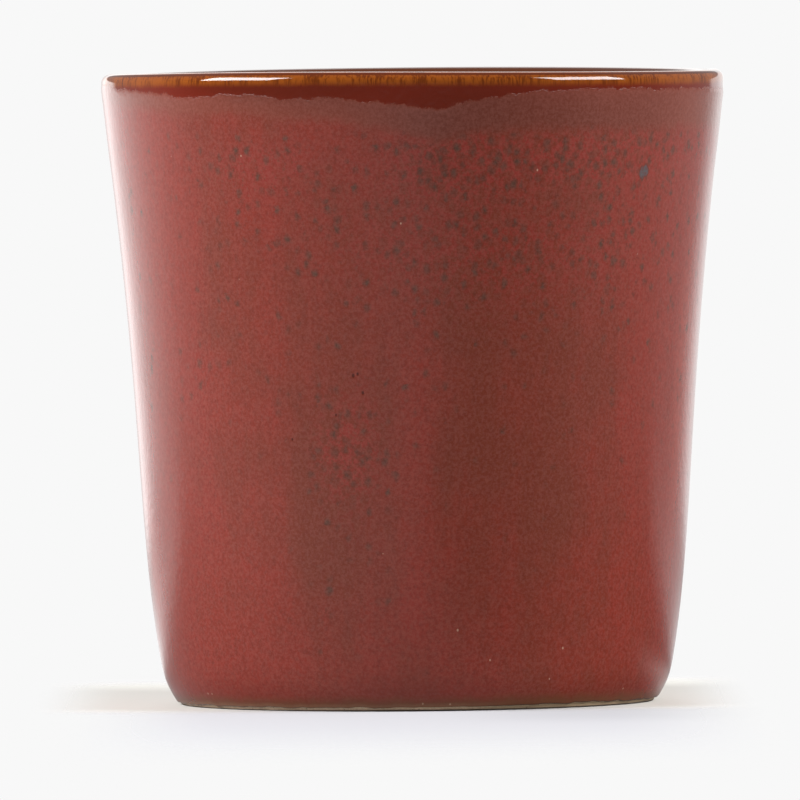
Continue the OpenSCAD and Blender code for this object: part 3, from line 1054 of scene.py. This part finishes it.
def liner_glaze(finish):
    """Gloss dark brown-red with small iron specks, a touch of dark amber below the lip, and darker where
    it pools at the floor."""
    place = finish.place()
    over = finish.attribute("over_edge")
    clouds = finish.noise(place, *LINER_CLOUD_NOISE)
    fine = finish.noise(place, *LINER_FINE_NOISE)
    dark = finish.fade(clouds + fine.swing(LINER_CLOUD_SWING), *LINER_CLOUD_FADE)
    colour = finish.mix(dark, LINER, LINER_DARK)
    colour = finish.mix(finish.fade(over, *LINER_FLOOR_FADE), colour, LINER_DARK)
    speck = finish.fade(finish.cells(place, LINER_SPECK_CELLS), *LINER_SPECK_FADE)
    colour = finish.mix(speck * LINER_SPECK_AMOUNT, colour, PIT)
    amber = finish.fade(over + fine.swing(LINER_AMBER_SWING), *LINER_AMBER_FADE)
    colour = finish.mix(amber, colour, AMBER_DARK)
    height = finish.noise(place, *LINER_RELIEF_NOISE) * PLAIN_RELIEF
    finish.surface({"Base Color": colour, "Roughness": LINER_ROUGHNESS + clouds * LINER_CLOUD_ROUGHNESS,
                    "IOR": PLAIN_GLAZE_INDEX, "Normal": finish.bump(height)})


# Recess: clouds, cells per mm, and its thin edge by the distance inside it
RECESS_CLOUD_NOISE, RECESS_RELIEF_NOISE = (0.18, 4, 0.6), (0.9, 2)
RECESS_CLOUD_FADE = (0.35, 0.65)
RECESS_CELLS, RECESS_CELL_FADE = 1.3, (0.45, 0.15, 0, 0.5)
RECESS_EDGE_FADE = (1.6, 0.1, 0, 0.9)


def recess_glaze(finish):
    """Satin dark red brown, olive and thin at its uneven edge."""
    place = finish.place()
    clouds = finish.noise(place, *RECESS_CLOUD_NOISE)
    colour = finish.mix(finish.fade(clouds, *RECESS_CLOUD_FADE), RED, DEEP_RED)
    colour = finish.mix(finish.fade(finish.cells(place, RECESS_CELLS), *RECESS_CELL_FADE), colour, SPOT)
    colour = finish.mix(finish.fade(finish.attribute("inside_edge"), *RECESS_EDGE_FADE), colour, OLIVE)
    height = finish.noise(place, *RECESS_RELIEF_NOISE) * PLAIN_RELIEF
    finish.surface({"Base Color": colour, "Roughness": RECESS_ROUGHNESS + clouds * RECESS_CLOUD_ROUGHNESS,
                    "IOR": PLAIN_GLAZE_INDEX, "Normal": finish.bump(height)})


# Clay: grog, clouds, and dark and pale specks by cells per mm
GROG_NOISE, GROG_FADE = (3.2, 4, 0.65), (0.40, 0.68, 0, 0.4)
CLAY_CLOUD_NOISE, CLAY_CLOUD_FADE = (0.20, 3, 0.6), (0.35, 0.65)
IRON_CELLS, IRON_FADE, IRON_AMOUNT = 1.6, (0.16, 0.07), 0.8
PALE_GROG_CELLS, PALE_GROG_FADE, PALE_GROG_AMOUNT = 2.3, (0.18, 0.08), 0.5
# Khaki on the right, by x in mm: painted light and shade, paler clay on the left where the foot gets
# less light and darker khaki on the right where it gets more. The dark edge where the foot meets the
# table is a painted contact shadow: by height, a little lower on the left, and under the foot only a
# share of it, which it comes to over a short length.
KHAKI_SIDE_SHADE_FADE = (2, 16)
CONTACT_SHADOW_FADE, CONTACT_SHADOW_SIDE_FADE = (0.27, 0.14), (-4, -20, 0, 0.06)
CONTACT_SHADOW_EASE, CONTACT_SHADOW_BELOW = 0.5, 0.22
# Relief in mm, and roughness with what grog takes from it
GROG_H, IRON_DEPTH = 0.03, 0.02
CLAY_ROUGHNESS, GROG_GLOSS = 0.85, 0.1


def bare_clay(finish):
    """Matt khaki clay with grog and dark iron specks, painted paler on the left and darker on the right as
    light and shade, and with a painted contact shadow at the edge that it stands on.
    """
    place = finish.place()
    x = finish.axis(place, X)
    grog = finish.noise(place, *GROG_NOISE)
    clouds = finish.noise(place, *CLAY_CLOUD_NOISE)
    speck = finish.fade(finish.cells(place, IRON_CELLS), *IRON_FADE)
    pale = finish.fade(finish.cells(place, PALE_GROG_CELLS), *PALE_GROG_FADE)
    colour = finish.mix(finish.fade(clouds, *CLAY_CLOUD_FADE), TAN, TAN_SHADE)
    # Painted light and shade: paler tan on the left, darker khaki on the right
    colour = finish.mix(finish.fade(x, *KHAKI_SIDE_SHADE_FADE), colour, KHAKI_SIDE_SHADE)
    colour = finish.mix(finish.fade(grog, *GROG_FADE), colour, GROG)
    colour = finish.mix(speck * IRON_AMOUNT, colour, IRON)
    colour = finish.mix(pale * PALE_GROG_AMOUNT, colour, PALE_GROG)
    # Painted contact shadow at the edge the foot stands on: by height, a little lower on the left
    up = finish.axis(place, Z) + finish.fade(x, *CONTACT_SHADOW_SIDE_FADE)
    bevel_s = CLAY.start["bevel"]
    outside = finish.fade(finish.attribute("along_profile"), bevel_s - CONTACT_SHADOW_EASE, bevel_s, CONTACT_SHADOW_BELOW, 1)
    colour = finish.mix(finish.fade(up, *CONTACT_SHADOW_FADE) * outside, colour, CONTACT_SHADOW)
    height = grog * GROG_H - speck * IRON_DEPTH
    finish.surface({"Base Color": colour, "Roughness": CLAY_ROUGHNESS - grog * GROG_GLOSS,
                    "IOR": CLAY_INDEX, "Normal": finish.bump(height)})


def finished(piece, node, made):
    """Hangs a piece on the frame in place of its CAD node and finish."""
    piece.data.materials.append(made)
    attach(piece, "root")
    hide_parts(node)


finished(make_clay_body(), "clay_body", material("bare stoneware", bare_clay))
finished(make_outer_glaze(), "outer_glaze", material("speckled red glaze", reactive_glaze))
finished(make_lip_glaze(), "lip_glaze", material("amber lip glaze", reactive_glaze))
finished(make_inner_glaze(), "inner_glaze", material("dark liner glaze", liner_glaze))
finished(make_recess_glaze(), "recess_glaze", material("recess glaze", recess_glaze))


def grey(light):
    """A colour with the same light in each part."""
    return (light, light, light)


# Studio, in metres. The floor that lights the cup is solid up to one radius about a middle behind the
# cup, and gone at another.
FLOOR_R = 0.56
FLOOR_FADE, FLOOR_MIDDLE_Y = (0.47, 0.20), 0.06
# The camera sees it beside the cup, by x from a middle a little to the left and by y, and in front. Its
# colours there are painted shadow: a beige patch beside and behind the cup, bluish grey in front, and a
# darker patch at the right front.
BESIDE_SHIFT, BESIDE_FADE, BESIDE_BACK_FADE = 0.003, (0.047, 0.0345), (0.078, 0.054)
FRONT_FADE, FRONT_END_FADE = (0.0455, 0.024), (-0.190, -0.060)
IN_FRONT_FADE = (-0.018, -0.034)
FLOOR_FRONT, FLOOR_SHADED = (0.452, 0.453, 0.478), (0.405, 0.408, 0.430)
SHADED_SIDE_FADE, SHADED_END_FADE = (0.000, 0.020), (-0.076, -0.044)
FLOOR_SHADOW_BESIDE, FLOOR_SHADOW_BESIDE_RIGHT = (0.655, 0.643, 0.608), (0.722, 0.707, 0.662)
BESIDE_RIGHT_FADE = (-0.010, 0.010)
# What the cup mirrors of it on the left and right, behind a slanted line, and near the cup's right side:
# painted shade and light, dark on the right and brighter behind and near the cup's right side
RIGHT_FADE = (-0.02, 0.04)
MIRRORED_LEFT, MIRRORED_RIGHT = grey(0.34), grey(0.14)
MIRRORED_LEFT_BACK, MIRRORED_RIGHT_BACK = grey(0.85), grey(0.56)
MIRRORED_BACK_SLANT, MIRRORED_BACK_FADE = 0.3, (0, 0.06)
MIRRORED_NEAR = (0.58, 0.57, 0.55)
NEAR_FADE, NEAR_BACK_FADE = (0.070, 0.042), (-0.012, 0.006)
# What it throws back onto the cup: painted shade and light, darker on the right and lighter near the
# cup's right side
BOUNCED_LEFT, BOUNCED_RIGHT, BOUNCED_NEAR = grey(0.42), grey(0.26), (0.58, 0.57, 0.54)
FLOOR_ROUGHNESS, FLOOR_SPECULAR = 0.9, 0.1


def floor_finish(finish):
    """Pale matt floor with painted shadows. To the camera it shows only near the cup and in front of it, in
    shadow colours, and thins out to the backdrop; the cup mirrors more of it, in painted shade and light.
    From below it doesn't hide the cup."""
    point = finish.node("ShaderNodeTexCoord", out="Object")
    x, y = finish.axis(point, X), finish.axis(point, Y)
    camera = finish.node("ShaderNodeLightPath", out="Is Camera Ray")
    mirror = finish.node("ShaderNodeLightPath", out="Is Glossy Ray")
    underneath = finish.node("ShaderNodeNewGeometry", out="Backfacing")
    from_cup = finish.node("ShaderNodeVectorMath", {"operation": "LENGTH"}, {0: point}, "Value")
    middle = finish.node("ShaderNodeVectorMath", {"operation": "SUBTRACT"}, {
        0: point, 1: (0, FLOOR_MIDDLE_Y, 0)})
    from_middle = finish.node("ShaderNodeVectorMath", {"operation": "LENGTH"}, {0: middle}, "Value")

    beside = finish.fade((x + BESIDE_SHIFT).size(), *BESIDE_FADE) * finish.fade(y, *BESIDE_BACK_FADE)
    front = finish.fade(x.size(), *FRONT_FADE) * finish.fade(y, *FRONT_END_FADE)
    in_front = finish.fade(y, *IN_FRONT_FADE)
    seen = finish.mix_numbers(in_front, beside, front)
    there = finish.mix_numbers(camera, finish.fade(from_middle, *FLOOR_FADE), seen)

    # Painted shade and light in what the cup mirrors of the floor and in what it throws back
    right = finish.fade(x, *RIGHT_FADE)
    near = right * finish.fade(from_cup, *NEAR_FADE)
    mirrored = finish.mix(right, MIRRORED_LEFT, MIRRORED_RIGHT)
    mirrored_back = finish.mix(right, MIRRORED_LEFT_BACK, MIRRORED_RIGHT_BACK)
    back = finish.fade(y - x.size() * MIRRORED_BACK_SLANT, *MIRRORED_BACK_FADE)
    mirrored = finish.mix(back, mirrored, mirrored_back)
    mirrored = finish.mix(near * finish.fade(y, *NEAR_BACK_FADE), mirrored, MIRRORED_NEAR)
    bounced = finish.mix(near, finish.mix(right, BOUNCED_LEFT, BOUNCED_RIGHT), BOUNCED_NEAR)
    unseen = finish.mix(mirror, bounced, mirrored)

    # Painted shadows that the camera sees: beside and behind the cup, in front, and at its right front
    beside_shadow_colour = finish.mix(finish.fade(x, *BESIDE_RIGHT_FADE), FLOOR_SHADOW_BESIDE, FLOOR_SHADOW_BESIDE_RIGHT)
    shaded = finish.fade(x, *SHADED_SIDE_FADE) * finish.fade(y, *SHADED_END_FADE)
    front_colour = finish.mix(shaded, FLOOR_FRONT, FLOOR_SHADED)
    colour = finish.mix(camera, unseen, finish.mix(in_front, beside_shadow_colour, front_colour))
    finish.surface({"Base Color": colour, "Roughness": FLOOR_ROUGHNESS,
                    "Specular IOR Level": FLOOR_SPECULAR, "Alpha": there * (1 - underneath)})


def make_floor():
    """A flat ring at z = 0: radius (cos a, sin a), from under the foot's outer edge out to FLOOR_R."""
    turn = np.linspace(0, 2 * math.pi, CLAY_COLUMNS, endpoint=False)
    circle = np.stack([np.cos(turn), np.sin(turn), 0 * turn], -1)
    corners = np.concatenate([(FOOT_R - FOOT_EASE) * MM * circle, FLOOR_R * circle])
    inner = np.arange(CLAY_COLUMNS)
    after = np.roll(inner, -1)
    faces = np.stack([inner, inner + CLAY_COLUMNS, after + CLAY_COLUMNS, after], -1)
    mesh = bpy.data.meshes.new("floor")
    mesh.from_pydata(corners, [], faces.tolist())
    mesh.materials.append(material("pale floor", floor_finish))
    floor = added("floor", mesh)


# Light from each side of the studio. Directions are in degrees round the cup (0 in front, 180 behind,
# left and right alike) and up from the table, or a part of a unit step where they name x or z.
DEGREES = 180 / math.pi
BACKDROP = 0.939
SIDE_X_FADE, WALL_X_FADE, ABOVE_Z_FADE = (-0.1, 0.1), (-0.2, 0.2), (-0.07, -0.02)
# The floor's light below the horizon
FRONT_FLOOR, LEFT_FRONT_FLOOR, RIGHT_FRONT_FLOOR = 0.62, 0.54, 0.31
RIGHT_FLOOR, LEFT_BACK_FLOOR, RIGHT_BACK_FLOOR = 0.58, 2.10, 1.20
FRONT_TURN, LEFT_BACK_TURN, RIGHT_TURN, RIGHT_BACK_TURN = (4, 30), (60, 166), (46, 78), (138, 160)
# The room above it, dim in front, with a bright back wall whose edge slants low down, and a dim ceiling
FRONT_ROOM, SIDE_ROOM, SIDE_TURN = 0.04, 0.40, (80, 120)
LEFT_WALL, RIGHT_WALL, WALL_TURN, WALL_TOP = 2.20, 1.40, (143, 149), (54, 46)
WALL_SLANT = (0, 12, 0, 24.5)
CEILING, CEILING_FROM = 0.20, (48, 60)
# A strip low down straight behind is darker, by a share on the left and one on the right
STRIP_TURN, STRIP_TOP, STRIP_SHARES = (162, 172), (12, 4), (0.52, 0.22)

# The soft boxes: direction from the front, distance and height of the middle, size, and light
BOX_TURN, BOX_AWAY, BOX_MIDDLE_Z = math.radians(69), 0.50, 0.325
BOX_W, BOX_H = 0.30, 0.255
LEFT_BOX, RIGHT_BOX = 24.0, 20.0

WHITE = (1, 1, 1, 1)
# Size of the map by which Blender finds the bright parts of the studio
LIGHT_MAP_SIZE = 1024


def studio_light(finish):
    """Light by direction: a bright floor and back wall, and a dim room in front and overhead."""
    way = finish.node("ShaderNodeTexCoord", out="Generated")
    x, y, z = (finish.axis(way, which) for which in (X, Y, Z))
    turn = finish.node("ShaderNodeMath", {"operation": "ARCTAN2"}, {0: x, 1: y * -1}) * DEGREES
    elevation = finish.node("ShaderNodeMath", {"operation": "ARCSINE"}, {0: z}) * DEGREES
    aside = turn.size()

    left = finish.fade(aside, *FRONT_TURN, FRONT_FLOOR, LEFT_FRONT_FLOOR)
    left = finish.mix_numbers(finish.fade(aside, *LEFT_BACK_TURN), left, LEFT_BACK_FLOOR)
    right = finish.fade(aside, *FRONT_TURN, FRONT_FLOOR, RIGHT_FRONT_FLOOR)
    right = finish.mix_numbers(finish.fade(aside, *RIGHT_TURN), right, RIGHT_FLOOR)
    right = finish.mix_numbers(finish.fade(aside, *RIGHT_BACK_TURN), right, RIGHT_BACK_FLOOR)
    floor = finish.mix_numbers(finish.fade(x, *SIDE_X_FADE), left, right)

    room = finish.fade(aside, *SIDE_TURN, FRONT_ROOM, SIDE_ROOM)
    room = finish.mix_numbers(finish.fade(elevation, *CEILING_FROM), room, CEILING)
    slant = finish.fade(elevation, *WALL_SLANT)
    wall = finish.fade(aside - slant, *WALL_TURN) * finish.fade(elevation, *WALL_TOP)
    room = finish.mix_numbers(wall, room, finish.fade(x, *WALL_X_FADE, LEFT_WALL, RIGHT_WALL))

    light = finish.mix_numbers(finish.fade(z, *ABOVE_Z_FADE), floor, room)
    strip = finish.fade(aside, *STRIP_TURN) * finish.fade(elevation, *STRIP_TOP)
    light = light * (1 - strip * finish.fade(x, *SIDE_X_FADE, *STRIP_SHARES))
    seen = finish.node("ShaderNodeLightPath", out="Is Camera Ray")
    light = finish.mix_numbers(seen, light, BACKDROP)
    shade = finish.node("ShaderNodeBackground", None, {"Color": WHITE, "Strength": light})
    finish.node("ShaderNodeOutputWorld", None, {0: shade})


def box_glow(finish, light):
    """An even white glow."""
    shader = finish.node("ShaderNodeEmission", None, {"Color": WHITE, "Strength": light})
    finish.node("ShaderNodeOutputMaterial", None, {0: shader})


def make_soft_box(name, side, light):
    """A bright rectangle beside the cup and above it, facing the cup, and left out of the camera's sight.

    Its corners are its middle, half its width across and half its height up, each way."""
    middle = Vector((side * BOX_AWAY * math.sin(BOX_TURN), -BOX_AWAY * math.cos(BOX_TURN), BOX_MIDDLE_Z))
    across = Vector((0, 0, 1)).cross(middle).normalized() * BOX_W / 2
    upward = (middle - Vector((0, 0, CUP_H * MM / 2))).cross(across).normalized() * BOX_H / 2
    corners = [middle + i * across + j * upward for i, j in [(-1, -1), (1, -1), (1, 1), (-1, 1)]]
    mesh = bpy.data.meshes.new(name)
    mesh.from_pydata(corners, [], [[0, 1, 2, 3]])
    mesh.materials.append(material(name, box_glow, light))
    box = added(name, mesh)
    box.visible_camera = False


def make_studio():
    """Two soft boxes, the light from all round, and colours shown as they are."""
    make_soft_box("left soft box", -1, LEFT_BOX)
    make_soft_box("right soft box", 1, RIGHT_BOX)
    world = bpy.data.worlds.new("studio")
    world.use_nodes = True
    studio_light(Finish(world.node_tree))
    world.cycles.sampling_method = "MANUAL"
    world.cycles.sample_map_resolution = LIGHT_MAP_SIZE
    bpy.context.scene.world = world
    bpy.context.scene.view_settings.view_transform = "Standard"


# Camera: a long lens a little above the lip, turned a touch clockwise
EYE = Vector((-0.0019, -2.35, 0.0955))
AIM = Vector((-0.0019, 0, 0.0389))
LENS, SENSOR_W = 821.4, 36
ROLL = math.radians(0.52)
FARTHEST_SEEN = 20


def make_camera():
    """The camera at EYE looks at AIM, and is then turned about its own sight line."""
    data = bpy.data.cameras.new("camera")
    data.lens = LENS
    data.sensor_width = SENSOR_W
    data.clip_end = FARTHEST_SEEN
    camera = added("camera", data)
    camera.location = EYE
    camera.rotation_mode = "QUATERNION"
    camera.rotation_quaternion = (AIM - EYE).to_track_quat("-Z", "Y") @ Quaternion((0, 0, 1), -ROLL)
    bpy.context.scene.camera = camera


make_floor()
make_studio()
make_camera()

bpy.context.view_layer.update()
